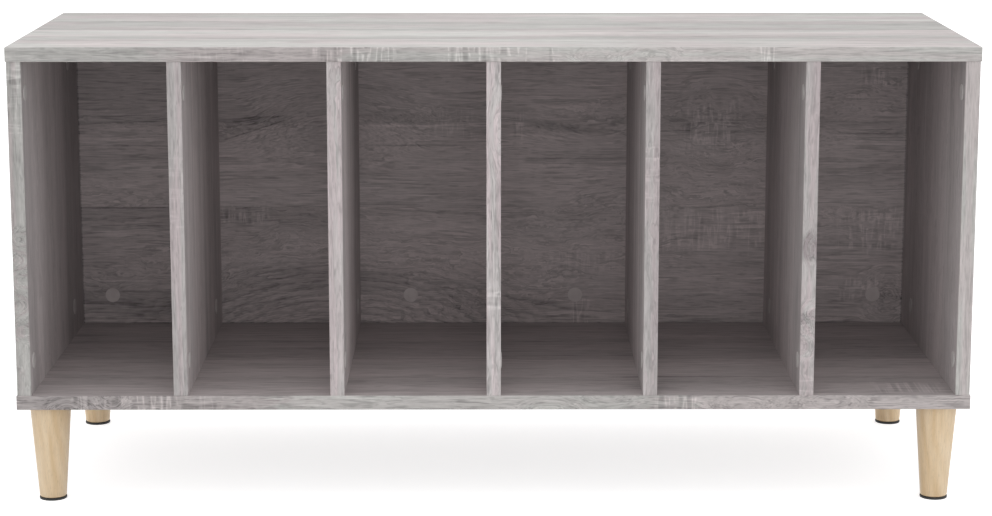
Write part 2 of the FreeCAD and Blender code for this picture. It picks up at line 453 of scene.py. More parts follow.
@dataclass(frozen=True)
class OakPlanks(Effect):
    """The printed strips side by side, each with its own cut, and their seams.

    Attributes:
        first_seam: Where one seam lies across the grain, in metres.
        width: How wide a strip is.
        seed: What sets this board's lots apart from the others'.
        fray: Fine noise that breaks the seams up.
    """

    first_seam: Value
    width: Value
    seed: Value
    fray: Signal = open_input()

    # Where a seam starts to fade and where it ends, from its middle, in metres.
    SEAM = (0.0004, 0.0018)
    # How far a seed of 1 moves the strips' lots.
    SEED_STEP = 13.0

    def draw(self, graph: Graph) -> dict[str, Signal]:
        """Numbers the strips and draws lots for each.

        Args:
            graph: The group's graph.

        Returns:
            The strip's lot, in 0 to 1, and a mask of the seams.
        """
        count = (graph.parts(self.position)[1] - self.first_seam) / self.width
        number = graph.math("FLOOR", count) + self.seed * self.SEED_STEP
        share = graph.math("FRACT", count)
        off = graph.math("MINIMUM", share, share.inverse()) * self.width
        return {"cut": graph.run("ShaderNodeTexWhiteNoise", number, noise_dimensions="1D"),
                "seam": off.fade(*self.SEAM) * self.fray.ease(0.38, 0.60)}


@dataclass(frozen=True)
class OakLines(Effect):
    """Dark growth lines with a pale rim, fine fibres and short dark pores.

    Attributes:
        rows: How many lines lie across a metre.
        pace: How short they are along the grain, 1 being the longest.
    """

    rows: Value = 130.0
    pace: Value = 1.0

    # Which level of the noise is a line's middle and which its rim's, and how far each reaches.
    LINE, LINE_REACH = 0.5, 0.085
    RIM, RIM_REACH = 0.61, 0.075
    # How much of the rim stays where the line is broken.
    RIM_LEFT = 0.3

    def draw(self, graph: Graph) -> dict[str, Signal]:
        """Draws lines where a stretched noise crosses its middle, and breaks them up.

        Args:
            graph: The group's graph.

        Returns:
            Masks of the lines, their rims and the pores, and the fibres in 0 to 1.
        """
        bent = graph.stretch(self.position, self.pace, self.rows)
        level = graph.noise(bent, 5.5, 1.0, 2.0, 0.55)
        broken = graph.noise(bent, 26.0, 0.55, 1.5, 0.6, (3.1, 8.2, 1.7))
        fine = graph.noise(bent, 30.0, 4.2, 1.5, 0.6, (6.1, 2.2, 9.7))
        dashes = graph.noise(bent, 62.0, 3.0, 0.5, 0.5, (1.9, 6.6, 2.3))
        whole = broken.ease(0.40, 0.60)
        return {"dark": (level - self.LINE).size().fade(0.0, self.LINE_REACH) * whole,
                "light": (level - self.RIM).size().fade(0.0, self.RIM_REACH)
                         * (whole * (1.0 - self.RIM_LEFT) + self.RIM_LEFT),
                "fine": fine.ease(0.32, 0.68),
                "pores": dashes.ease(0.58, 0.70) * broken.fade(0.36, 0.56)}


@dataclass(frozen=True)
class SawTicks(Effect):
    """The marks a band saw leaves across the grain: short pale ridges with dark gaps.

    Attributes:
        reach: How many ticks lie end to end in a metre, about an eighth of their breaks.
        per_metre: How many ticks lie along a metre of grain.
    """

    reach: Value = 18.0
    per_metre: Value = 150.0

    # Which level of the noise is a ridge's middle, and how far from there it reaches.
    RIDGE, RIDGE_REACH = 0.54, 0.075

    def draw(self, graph: Graph) -> dict[str, Signal]:
        """Lays noise stretched across the grain and breaks it up.

        Args:
            graph: The group's graph.

        Returns:
            Masks of the ridges and of the gaps.
        """
        turned = graph.stretch(self.position, self.per_metre, self.reach)
        lines = graph.noise(turned, 1.0, 1.0, 1.0)
        breaks = graph.noise(turned, 0.5, 8.0, 1.0, 0.5, (4.2, 9.1, 0.6)).ease(0.32, 0.54)
        return {"ridge": (lines - self.RIDGE).size().fade(0.0, self.RIDGE_REACH) * breaks,
                "gap": lines.fade(0.36, 0.48) * breaks}


@dataclass(frozen=True)
class BeechFlame(Effect):
    """The leg wood's figure: soft flames up its height, fine lines and small flecks.

    Attributes:
        rings_per_metre: How closely the rings stand, as radians in a metre.
        lines_per_metre: How finely the lines and flecks are drawn.
    """

    rings_per_metre: Value = 620.0
    lines_per_metre: Value = 90.0

    # How the trunk leans across the leg, and how far its rings sway, in metres.
    LEAN = 0.16
    SWAY = 0.035
    # How much of the figure is flames, the rest being rings.
    FLAME_SHARE = 0.65

    def draw(self, graph: Graph) -> dict[str, Signal]:
        """Lays rings of a tilted trunk, so that flames show on the turned face.

        Args:
            graph: The group's graph.

        Returns:
            The flames and the lines, in 0 to 1, and a mask of the flecks.
        """
        x, y, _ = graph.parts(self.position)
        sway = graph.noise(self.position, 7.0, 30.0) - 0.5
        rings = graph.math(
            "SINE", (y + x * self.LEAN + sway * self.SWAY) * self.rings_per_metre)
        flame = graph.noise(self.position, 6.0, 85.0, 2.0, 0.5, (2.2, 0.4, 7.7))
        tall = graph.stretch(self.position, 1.0, self.lines_per_metre)
        line = graph.noise(tall, 14.0, 9.0, 2.0, 0.55, (6.0, 1.1, 3.9))
        fleck = graph.noise(tall, 160.0, 16.0, 0.5, 0.5, (0.2, 5.4, 9.9))
        return {"flame": flame.ease(0.35, 0.65) * self.FLAME_SHARE
                         + (rings * 0.5 + 0.5) * (1.0 - self.FLAME_SHARE),
                "line": line.ease(0.34, 0.66),
                "fleck": fleck.ease(0.60, 0.72)}


@dataclass(frozen=True)
class FineGrit(Effect):
    """The very fine unevenness of moulded, plated and milled surfaces.

    Attributes:
        per_metre: How finely it is drawn.
    """

    per_metre: Value = 600.0

    def draw(self, graph: Graph) -> dict[str, Signal]:
        """Lays one fine noise and one broad one.

        Args:
            graph: The group's graph.

        Returns:
            Both, in 0 to 1.
        """
        small = graph.stretch(self.position, self.per_metre, self.per_metre)
        cloud = graph.noise(small, 0.15, 0.15, 2.0, 0.5, (3.3, 3.3, 3.3))
        return {"grains": graph.noise(small, 4.0, 4.0), "cloud": cloud.ease(0.3, 0.7)}


@dataclass(frozen=True)
class Band(Effect):
    """A lighter or darker strip of the print between two lines across the grain.

    Attributes:
        low: Where it begins, in metres across the grain.
        high: Where it ends.
        strength: How much lighter, or below zero darker, it is.
        rise: How soft its low side is, in metres.
        fall: How soft its high side is.
    """

    low: Value
    high: Value
    strength: Value
    rise: Value = 0.001
    fall: Value = 0.001

    def draw(self, graph: Graph) -> dict[str, Signal]:
        """Steps up past the low line and down past the high one.

        Args:
            graph: The group's graph.

        Returns:
            How much lighter the print is there.
        """
        y = graph.parts(self.position)[1]
        up = y.ease(self.low, self.low + self.rise)
        return {"tone": up * y.fade(self.high - self.fall, self.high) * self.strength}


@dataclass(frozen=True)
class Feature(Effect):
    """An effect about a middle, which is given along and across the grain."""

    along: Value
    across: Value

    def off(self, graph: Graph) -> tuple[Signal, Signal]:
        """Returns how far a point is from the middle, along and across the grain."""
        x, y, _ = graph.parts(self.position)
        return x - self.along, y - self.across


@dataclass(frozen=True)
class Bulge(Feature):
    """A place where the grain's lines are pushed across by a height, in arches."""

    half_length: Value
    half_width: Value
    height: Value

    def draw(self, graph: Graph) -> dict[str, Signal]:
        """Falls softly from the height at the middle to nothing at the rim.

        Args:
            graph: The group's graph.

        Returns:
            The grain's shift, in metres.
        """
        x, y = self.off(graph)
        u, v = x / self.half_length, y / self.half_width
        return {"shift": graph.math("SQRT", u * u + v * v).fade(0.0, 1.0) * self.height}


@dataclass(frozen=True)
class Spot(Feature):
    """A soft-edged patch, by its middle and half sizes along and across the grain.

    As a patch of saw ticks its strength goes from 0 to 1. As a patch of tone it is how much
    lighter, or below zero darker, the print is there.
    """

    half_length: Value
    half_width: Value
    strength: Value = 1.0
    fray: Signal = open_input()

    # How frayed the rim is, and where it begins and ends, in half sizes.
    FRAY = 1.1
    RIM = (0.62, 1.12)

    def draw(self, graph: Graph) -> dict[str, Signal]:
        """Measures how far out of the patch a point is, with a frayed rim.

        Args:
            graph: The group's graph.

        Returns:
            The patch's strength at each point.
        """
        x, y = self.off(graph)
        far = (x / self.half_length).size().most((y / self.half_width).size())
        frayed = far + (self.fray - 0.5) * self.FRAY
        return {"mask": frayed.fade(*self.RIM) * self.strength}


@dataclass(frozen=True)
class Knot(Feature):
    """Dark wobbling rings about a middle, slim ones being long along the grain."""

    slimness: Value
    rings_per_metre: Value
    reach: Value
    strength: Value = 0.16
    wobble: Value = 0.013
    fray: Signal = open_input()

    # Where in a ring its dark line comes and where it goes, as shares of the ring.
    COMES = (0.0, 0.14)
    GOES = (0.10, 0.75)
    # The share of the reach at which the rings start to fade.
    WHOLE_TO = 0.5

    def draw(self, graph: Graph) -> dict[str, Signal]:
        """Turns a frayed distance from the middle into soft late-wood lines.

        Args:
            graph: The group's graph.

        Returns:
            The rings' strength at each point.
        """
        x, y = self.off(graph)
        slim = x * self.slimness
        far = graph.math("SQRT", slim * slim + y * y) + (self.fray - 0.5) * self.wobble
        turn = graph.math("FRACT", far * self.rings_per_metre)
        line = turn.fade(*self.GOES) * turn.ease(*self.COMES)
        near = far.fade(self.reach * self.WHOLE_TO, self.reach)
        return {"rings": line * near * self.strength}


@dataclass(frozen=True)
class Mark(Feature):
    """A streak along the grain, thin at both ends, dark or with a strength below zero pale."""

    half_length: Value
    half_width: Value
    strength: Value = 0.15
    slope: Value = 0.0
    bow: Value = 0.0
    fray: Signal = open_input()

    # How frayed the sides are, in half widths, and where the ends thin out, in half lengths.
    FRAY = 1.6
    TAPER = (0.35, 1.0)

    def draw(self, graph: Graph) -> dict[str, Signal]:
        """Measures the distance from a slightly bowed line.

        Args:
            graph: The group's graph.

        Returns:
            The streak's strength at each point.
        """
        x, y = self.off(graph)
        line = x * self.slope + x * x * self.bow
        off = ((y - line) / self.half_width + (self.fray - 0.5) * self.FRAY).size()
        ends = (x / self.half_length).size().fade(*self.TAPER)
        return {"mask": off.fade(0.0, 1.0) * ends * self.strength}


@dataclass(frozen=True)
class OakFinish:
    """The printed sawn oak of one board or band.

    Attributes:
        grain: Which way its grain runs.
        cut: Where in the pattern this board is cut, in metres.
        planks: The first seam and the width of the printed strips, in metres, or None.
        greys: Which pair of greys it is printed in.
        lightness: How light the whole board is beside the others.
        contrast: How strong the print's fine figure is beside the depths below.
        blush: How far the blushing goes outside the named patches, from 0 to 1.
        outside: Where, through the board, its outer face's greyer lit print begins and is whole,
            over the inner face's greys painted as shade.
        flow: How far its grain wanders.
        streaks: Its broad streaks and blushing.
        lines: Its growth lines, fibres and pores.
        saw: Its saw ticks.
        streak_depth: How much the broad streaks differ.
        line_depth: How much the growth lines darken.
        fibre_depth: How much the fine fibres differ.
        tick_depth: How strong the saw ticks are.
        stray_ticks: How strong the ticks are outside their patches.
        ticks: Patches of saw ticks.
        tones: Lighter and darker patches.
        blushes: Pinker patches.
        bands: Lighter and darker strips along the grain.
        bulges: Places where the lines are pushed into arches.
        knots: Rings about a middle.
        marks: Single streaks.
    """

    name: str
    grain: Grain
    cut: Triple
    planks: Pair | None = None
    greys: Greys = Greys.OUTER
    lightness: float = 1.0
    contrast: float = 1.35
    blush: float = 1.0
    outside: Pair | None = None
    flow: OakFlow = OakFlow()
    streaks: OakStreaks = OakStreaks()
    lines: OakLines = OakLines()
    saw: SawTicks = SawTicks()
    streak_depth: float = 0.10
    line_depth: float = 0.14
    fibre_depth: float = 0.10
    tick_depth: float = 0.16
    stray_ticks: float = 0.06
    ticks: tuple[Spot, ...] = ()
    tones: tuple[Spot, ...] = ()
    blushes: tuple[Spot, ...] = ()
    bands: tuple[Band, ...] = ()
    bulges: tuple[Bulge, ...] = ()
    knots: tuple[Knot, ...] = ()
    marks: tuple[Mark, ...] = ()

    # Shares of the line depth, and for the gaps of the tick depth.
    RIM_SHARE = 0.55
    PORE_SHARE = 0.8
    LIFT_SHARE = 0.13
    GAP_SHARE = 0.6
    # How far apart the strips' cuts may lie along and across the pattern, in metres.
    CUT_SPREAD = (9.0, 0.7)
    SEAM_DEPTH = 0.08
    # How rough the dark fibres are, how much smoother the light ones, and how glossy all is.
    ROUGHNESS = 0.62
    POLISH = 0.08
    GLOSS = 0.35
    # How strongly the pressed-in pores show, and how deep they are, in metres.
    PORE_STRENGTH = 0.35
    PORE_RELIEF = 0.00015

    def material(self) -> bpy.types.Material:
        """Builds the finish.

        Returns:
            The new material.
        """
        skin = Skin(self.name)
        place = skin.turned(self.grain)
        position = skin.turned(self.grain, self.cut)
        fray = skin.noise(position, 55.0, 150.0, 2.0, 0.6, (1.5, 2.5, 3.5))

        def lay(feature: Effect) -> Signal:
            """Returns what a feature gives at its place on the board."""
            return feature.place(skin, position=place, fray=fray)[0]

        ground: Value = 1.0
        if self.planks:
            strips = OakPlanks(*self.planks, seed=self.cut[0])
            cut, seam = strips.place(skin, position=place, fray=fray)
            along, across = self.CUT_SPREAD
            position = skin.vector("ADD", position, skin.join(cut * along, cut * across, 0.0))
            ground = seam * -self.SEAM_DEPTH + 1.0

        shift, = self.flow.place(skin, position=position)
        shift = sum(map(lay, self.bulges), shift)
        bent = skin.vector("ADD", position, skin.join(0.0, shift, shift))
        tone, blush = self.streaks.place(skin, position=bent)
        dark, light, fine, pores = self.lines.place(skin, position=bent)
        ridge, gap = self.saw.place(skin, position=position)
        sawn: Value = self.stray_ticks
        for spot in self.ticks:
            sawn = lay(spot).most(sawn)

        figure = ((tone - 0.5) * self.streak_depth
                  + (fine - 0.5) * self.fibre_depth
                  - dark * self.line_depth + light * (self.line_depth * self.RIM_SHARE)
                  - pores * (self.line_depth * self.PORE_SHARE)
                  + ridge * sawn * self.tick_depth
                  - gap * sawn * (self.tick_depth * self.GAP_SHARE)
                  + self.line_depth * self.LIFT_SHARE)
        streaks = tuple(replace(streak, strength=-streak.strength * self.contrast)
                        for streak in self.marks + self.knots)
        shade = sum(map(lay, self.bands + self.tones + streaks), figure * self.contrast + ground)
        pinkness = sum(map(lay, self.blushes), blush * self.blush)
        colour = skin.mix(pinkness, *self.greys.value)
        # The outer face gets the lit greys; the inner face keeps the pinker greys painted as
        # shade.
        if self.outside:
            colour = skin.mix(skin.parts(place)[2].ease(*self.outside), colour,
                              skin.mix(pinkness, *Greys.OUTER.value))
        skin.paint("Base Color", skin.shade(colour, shade * self.lightness))
        skin.paint("Roughness", fine * -self.POLISH + self.ROUGHNESS)
        skin.paint("Specular IOR Level", self.GLOSS)
        skin.bump(skin.noise(position, 40.0, 900.0, 1.0), self.PORE_STRENGTH, self.PORE_RELIEF)
        return skin.material


@dataclass(frozen=True)
class LegFinish:
    """Clear-lacquered pale beech, its grain up the leg."""

    name: str
    cut: Triple
    lightness: float = 0.95

    PALE = tint(241, 217, 183)
    WARM = tint(224, 194, 152)
    # How light the wood is at its lightest, and how much the lines and flecks darken it.
    LIGHTEST = 1.02
    LINE_DEPTH = 0.07
    FLECK_DEPTH = 0.10
    ROUGHNESS = 0.42
    LINE_ROUGHNESS = 0.08
    LACQUER = 0.25
    LACQUER_ROUGHNESS = 0.3
    # How strongly the grain's relief shows, how far the flecks sink into it, and its depth.
    RELIEF_STRENGTH = 0.25
    FLECK_RELIEF = 0.7
    RELIEF = 0.00008

    def material(self) -> bpy.types.Material:
        """Builds the finish.

        Returns:
            The new material.
        """
        skin = Skin(self.name)
        position = skin.turned(Grain.ALONG_HEIGHT_FRONT, self.cut)
        flame, line, fleck = BeechFlame().place(skin, position=position)
        shade = line.inverse() * -self.LINE_DEPTH + fleck * -self.FLECK_DEPTH + self.LIGHTEST
        colour = skin.mix(flame, self.WARM, self.PALE)
        skin.paint("Base Color", skin.shade(colour, shade * self.lightness))
        skin.paint("Roughness", line * self.LINE_ROUGHNESS + self.ROUGHNESS)
        skin.paint("Coat Weight", self.LACQUER)
        skin.paint("Coat Roughness", self.LACQUER_ROUGHNESS)
        skin.bump(line - fleck * self.FLECK_RELIEF, self.RELIEF_STRENGTH, self.RELIEF)
        return skin.material


@dataclass(frozen=True)
class SolidFinish:
    """Moulded plastic, plated metal or plain wood with a fine uneven surface.

    Attributes:
        colour: Its colour.
        clouds: The colour that clouds it.
        relief: How high the grit stands, in metres.
    """

    name: str
    colour: Colour
    clouds: Colour
    roughness: float
    metallic: float = 0.0
    grit: FineGrit = FineGrit()
    relief: float = 0.00003

    # How much the grit changes the tone and the roughness, and the clouds the roughness.
    GRIT_TONE = 0.08
    GRIT_ROUGHNESS = 0.06
    CLOUD_ROUGHNESS = 0.08
    RELIEF_STRENGTH = 0.3

    def material(self) -> bpy.types.Material:
        """Builds the finish.

        Returns:
            The new material.
        """
        skin = Skin(self.name)
        grains, cloud = self.grit.place(skin, position=skin.coordinates)
        colour = skin.mix(cloud, self.colour, self.clouds)
        skin.paint("Base Color", skin.shade(
            colour, grains * self.GRIT_TONE + (1.0 - self.GRIT_TONE / 2)))
        spread = self.CLOUD_ROUGHNESS + self.GRIT_ROUGHNESS
        skin.paint("Roughness", cloud * self.CLOUD_ROUGHNESS + grains * self.GRIT_ROUGHNESS
                   + (self.roughness - spread / 2))
        skin.paint("Metallic", self.metallic)
        skin.bump(grains, self.RELIEF_STRENGTH, self.relief)
        return skin.material


Finish = OakFinish | LegFinish | SolidFinish


@dataclass
class PackedPieces:
    """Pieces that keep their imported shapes: the boards with their bands, and the fittings.

    Attributes:
        finishes: Each piece's finish, by the name of its node.
    """

    finishes: dict[str, Finish]

    def dress(self) -> None:
        """Puts each piece's own finish on it."""
        ready: dict[str, bpy.types.Material] = {}
        for node, finish in self.finishes.items():
            if finish.name not in ready:
                ready[finish.name] = finish.material()
            for place in frame["nodes"][node].material_slots:
                place.material = ready[finish.name]
            LOG.info("dressed %s in %s", node, finish.name)


def deselect_all() -> None:
    """Leaves edit mode and clears the selection."""
    if bpy.context.object and bpy.context.object.mode != "OBJECT":
        bpy.ops.object.mode_set(mode="OBJECT")
    bpy.ops.object.select_all(action="DESELECT")


def take_hold(piece: bpy.types.Object) -> None:
    """Makes a piece the only selected one, and the active one.

    Args:
        piece: The piece.
    """
    deselect_all()
    piece.select_set(True)
    bpy.context.view_layer.objects.active = piece


def set_down(piece: bpy.types.Object) -> None:
    """Applies a piece's place, turn and scale to its mesh."""
    take_hold(piece)
    bpy.ops.object.transform_apply(location=True, rotation=True, scale=True)


@contextmanager
def edit_ends(piece: bpy.types.Object, *sides: int) -> Iterator[None]:
    """Opens edit mode with only a round piece's flat ends selected.

    Args:
        piece: The piece.
        *sides: Which ends, 1 for the one that looks up and -1 for the one that looks down.

    Yields:
        Nothing, while edit mode is open.
    """
    take_hold(piece)
    for item in (*piece.data.vertices, *piece.data.edges):
        item.select = False
    for face in piece.data.polygons:
        face.select = len(face.vertices) > FEW_SIDES and round(face.normal.z) in sides
    bpy.ops.object.mode_set(mode="EDIT")
    bpy.ops.mesh.select_mode(type="FACE")
    yield
    bpy.ops.object.mode_set(mode="OBJECT")


def round_rims(piece: bpy.types.Object, width: float, segments: int) -> None:
    """Rounds a piece's sharp rims and smooths it between them.

    Args:
        piece: The piece.
        width: How far the rounding reaches from the rim.
        segments: How many faces there are across it.
    """
    take_hold(piece)
    rim = piece.modifiers.new("rim", "BEVEL")
    rim.limit_method = "ANGLE"
    rim.angle_limit = SHARP_RIM
    rim.width = width
    rim.segments = segments
    bpy.ops.object.modifier_apply(modifier=rim.name)
    bpy.ops.object.shade_smooth_by_angle(angle=BLUNT_EDGE)


def hand_over(piece: bpy.types.Object, name: str, finish: Finish, node: str) -> None:
    """Names and dresses a finished piece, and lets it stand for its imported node.

    Args:
        piece: The piece.
        name: Its name.
        finish: What it is made of.
        node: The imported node.
    """
    piece.name = name
    piece.data.materials.append(finish.material())
    set_down(piece)
    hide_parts(node)
    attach(piece, BODY)
    LOG.info("built %s", name)


def packed_points(node: str) -> list[Pair]:
    """Measures an upright round piece as it was packed.

    Args:
        node: The piece's node.

    Returns:
        Each point's distance from the piece's axis, and its height.
    """
    low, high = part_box(node)
    axis = (low + high) / 2
    return [(math.hypot(v.co.x - axis.x, v.co.y - axis.y), v.co.z)
            for v in frame["nodes"][node].data.vertices]


@dataclass
class TurnedLeg:
    """One tapered round leg, turned from beech.

    Attributes:
        rim_steps: How many faces there are across each rounded rim.
        end_ring: The flat ring inside each rim, which keeps the ends shaded flat.
        foot_height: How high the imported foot's rounded rim reaches at most.
    """

    corner: str
    sides: int = 96
    head_round: float = 0.0012
    foot_round: float = 0.0016
    rim_steps: int = 5
    end_ring: float = 0.0015
    foot_height: float = 0.004

    def build(self, finish: LegFinish) -> None:
        """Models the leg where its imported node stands.

        Args:
            finish: The wood it is made of.
        """
        node = "leg_" + self.corner
        low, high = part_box(node)
        foot = max(off for off, height in packed_points(node) if height < low.z + self.foot_height)
        deselect_all()
        bpy.ops.mesh.primitive_cone_add(
            vertices=self.sides, radius1=foot, radius2=(high.x - low.x) / 2,
            depth=high.z - low.z, end_fill_type="NGON", location=(low + high) / 2)
        leg = bpy.context.object
        for side, rounding in ((1, self.head_round), (-1, self.foot_round)):
            with edit_ends(leg, side):
                bpy.ops.mesh.bevel(
                    offset=rounding, segments=self.rim_steps, profile=0.5, affect="EDGES")
        with edit_ends(leg, 1, -1):
            bpy.ops.mesh.inset(thickness=self.end_ring, depth=0.0, use_individual=True)
        bpy.ops.object.shade_smooth_by_angle(angle=BLUNT_EDGE)
        hand_over(leg, "turned_leg_" + self.corner, finish, node)


@dataclass
class FloorGlide:
    """One nailed-on glide: a low dish with a rounded rim, a groove and a boss under it.

    Attributes:
        rim_steps: How many faces there are across its rounded rim.
        disc_share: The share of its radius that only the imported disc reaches, and not its stem.
        rings: The rings from its rim inwards, each with its width and its step.
    """

    corner: str
    sides: int = 72
    rim_round: float = 0.0009
    rim_steps: int = 4
    disc_share: float = 0.8
    rings: tuple[Pair, ...] = (
        (0.0030, 0.0), (0.0006, -0.0005), (0.0022, 0.0), (0.0006, 0.0005), (0.0030, 0.0),
        (0.0005, -0.0008))

    def build(self, finish: SolidFinish) -> None:
        """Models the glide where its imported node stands.

        Args:
            finish: The plastic it is made of.
        """
        node = "glide_" + self.corner
        low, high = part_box(node)
        radius = (high.x - low.x) / 2
        top = max(height for off, height in packed_points(node) if off > radius * self.disc_share)
        deselect_all()
        bpy.ops.mesh.primitive_cylinder_add(
            vertices=self.sides, radius=radius, depth=top - low.z, end_fill_type="NGON",
            location=((low.x + high.x) / 2, (low.y + high.y) / 2, (low.z + top) / 2))
        glide = bpy.context.object
        with edit_ends(glide, -1):
            for width, step in self.rings:
                bpy.ops.mesh.inset(thickness=width, depth=step)
        round_rims(glide, self.rim_round, self.rim_steps)
        hand_over(glide, "floor_glide_" + self.corner, finish, node)


class Seat:
    """Where one packed cap sits: its inner face's middle, its outward way and its sizes."""

    # The share of its radius that only the cap's disc reaches, and not its stem.
    DISC_SHARE = 0.75
    # How near two heights are that count as one, in metres.
    TOUCH = 1e-5

    def __init__(self, points: list[Vector]) -> None:
        """Finds the seat.

        Args:
            points: The points of the cap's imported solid.
        """
        low, high = Vector(map(min, *points)), Vector(map(max, *points))
        spans = high - low
        axis = min(range(3), key=lambda i: spans[i])
        self.radius = max(spans) / 2
        self.middle = (low + high) / 2

        def off(point: Vector) -> float:
            """Measures how far a point is from the cap's axis.

            Args:
                point: The point.

            Returns:
                The distance.
            """
            way = point - self.middle
            way[axis] = 0.0
            return way.length

        disc = [point[axis] for point in points if off(point) > self.radius * self.DISC_SHARE]
        side = 1 if max(disc) > high[axis] - self.TOUCH else -1
        face, inner = (high[axis], min(disc)) if side > 0 else (low[axis], max(disc))
        self.middle[axis] = inner
        self.thickness = abs(face - inner)
        self.outward = Vector((0.0, 0.0, 0.0))
        self.outward[axis] = side


@dataclass
class CoverCaps:
    """The push-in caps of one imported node, each over a cam lock's hole.

    Attributes:
        rim_steps: How many faces there are across each rounded rim.
        rings: The rings from its rim inwards, each with its share of the radius and its rise.
    """

    node: str
    sides: int = 56
    rim_round: float = 0.0003
    rim_steps: int = 3
    rings: tuple[Pair, ...] = ((0.10, 0.000048), (0.25, 0.000048), (0.35, 0.000024))

    def build(self, finish: SolidFinish) -> None:
        """Models one cap, copies it to every seat, and joins them.

        Args:
            finish: The plastic they are made of.
        """
        seats = [Seat(points) for points in loose_parts(frame["nodes"][self.node].data)]
        first = self._cap(seats[0])
        caps = [first]
        for _ in seats[1:]:
            caps.append(first.copy())
            caps[-1].data = first.data.copy()
            bpy.context.collection.objects.link(caps[-1])
        for cap, seat in zip(caps, seats):
            cap.rotation_mode = "QUATERNION"
            cap.rotation_quaternion = Vector((0.0, 0.0, 1.0)).rotation_difference(seat.outward)
            cap.location = seat.middle
            set_down(cap)
        take_hold(first)
        for cap in caps:
            cap.select_set(True)
        bpy.ops.object.join()
        hand_over(first, "domed_" + self.node, finish, self.node)

    def _cap(self, seat: Seat) -> bpy.types.Object:
        """Models one cap at the origin, with a rounded rim and a low dome.

        Args:
            seat: A seat of the right size.

        Returns:
            The cap, looking up.
        """
        deselect_all()
        bpy.ops.mesh.primitive_cylinder_add(
            vertices=self.sides, radius=seat.radius, depth=seat.thickness,
            end_fill_type="NGON", location=(0.0, 0.0, seat.thickness / 2))
        cap = bpy.context.object
        set_down(cap)
        with edit_ends(cap, 1):
            for share, rise in self.rings:
                bpy.ops.mesh.inset(thickness=seat.radius * share, depth=rise)
        # The dome's crown, and not its rim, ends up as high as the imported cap.
        crown = max(vertex.co.z for vertex in cap.data.vertices) - seat.thickness
        for vertex in cap.data.vertices:
            if vertex.co.z > seat.thickness / 2:
                vertex.co.z -= crown
        round_rims(cap, self.rim_round, self.rim_steps)
        return cap


def loose_parts(mesh: bpy.types.Mesh) -> list[list[Vector]]:
    """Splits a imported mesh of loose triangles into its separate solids.

    Args:
        mesh: The mesh, whose triangles may not share vertices.

    Returns:
        The points of each solid, in the mesh's own order.
    """
    keys = [tuple(round(c * POINTS_PER_METRE) for c in vertex.co) for vertex in mesh.vertices]
    leader = {key: key for key in keys}

    def lead(key: tuple[int, ...]) -> tuple[int, ...]:
        """Finds the point that leads a point's group.

        Args:
            key: The point.

        Returns:
            The leading point.
        """
        while leader[key] != key:
            leader[key] = key = leader[leader[key]]
        return key

    for face in mesh.polygons:
        first, *others = (keys[i] for i in face.vertices)
        for other in others:
            leader[lead(other)] = lead(first)
    groups: dict[tuple[int, ...], list[Vector]] = {}
    for vertex, key in zip(mesh.vertices, keys):
        groups.setdefault(lead(key), []).append(vertex.co.copy())
    return list(groups.values())


WHITE = (1.0, 1.0, 1.0, 1.0)


def seen_rays(graph: Graph) -> Signal:
    """Tells apart the rays that show the surroundings, straight, in gloss or through glass.

    Args:
        graph: The graph of the floor's material or of the world.

    Returns:
        1 for those rays and 0 for the rest.
    """
    rays = graph.add("ShaderNodeLightPath").outputs
    straight, gloss, glass = (Signal(graph, rays[f"Is {kind} Ray"])
                              for kind in ("Camera", "Glossy", "Transmission"))
    return straight.most(gloss).most(glass)


def stand(thing: bpy.types.ID, place: Triple, turn: Triple) -> bpy.types.Object:
    """Stands a lamp or camera in the scene.

    Args:
        thing: The lamp's or camera's data.
        place: Where it stands.
        turn: How it is turned, as Euler angles.

    Returns:
        Its object.
    """
    holder = bpy.data.objects.new(thing.name, thing)
    holder.location = place
    holder.rotation_euler = turn
    bpy.context.scene.collection.objects.link(holder)
    return holder


@dataclass(frozen=True)
class Softbox:
    """One soft rectangular lamp, aimed at the cabinet."""

    name: str
    place: Triple
    size: Pair
    watts: float
    target: Triple = (0.0, 0.0, 0.3)

    def hang(self) -> None:
        """Hangs the lamp."""
        lamp = bpy.data.lights.new(self.name, "AREA")
        lamp.shape = "RECTANGLE"
        lamp.size, lamp.size_y = self.size
        lamp.energy = self.watts
        aim = Vector(self.target) - Vector(self.place)
        stand(lamp, self.place, aim.to_track_quat("-Z", "Y").to_euler())


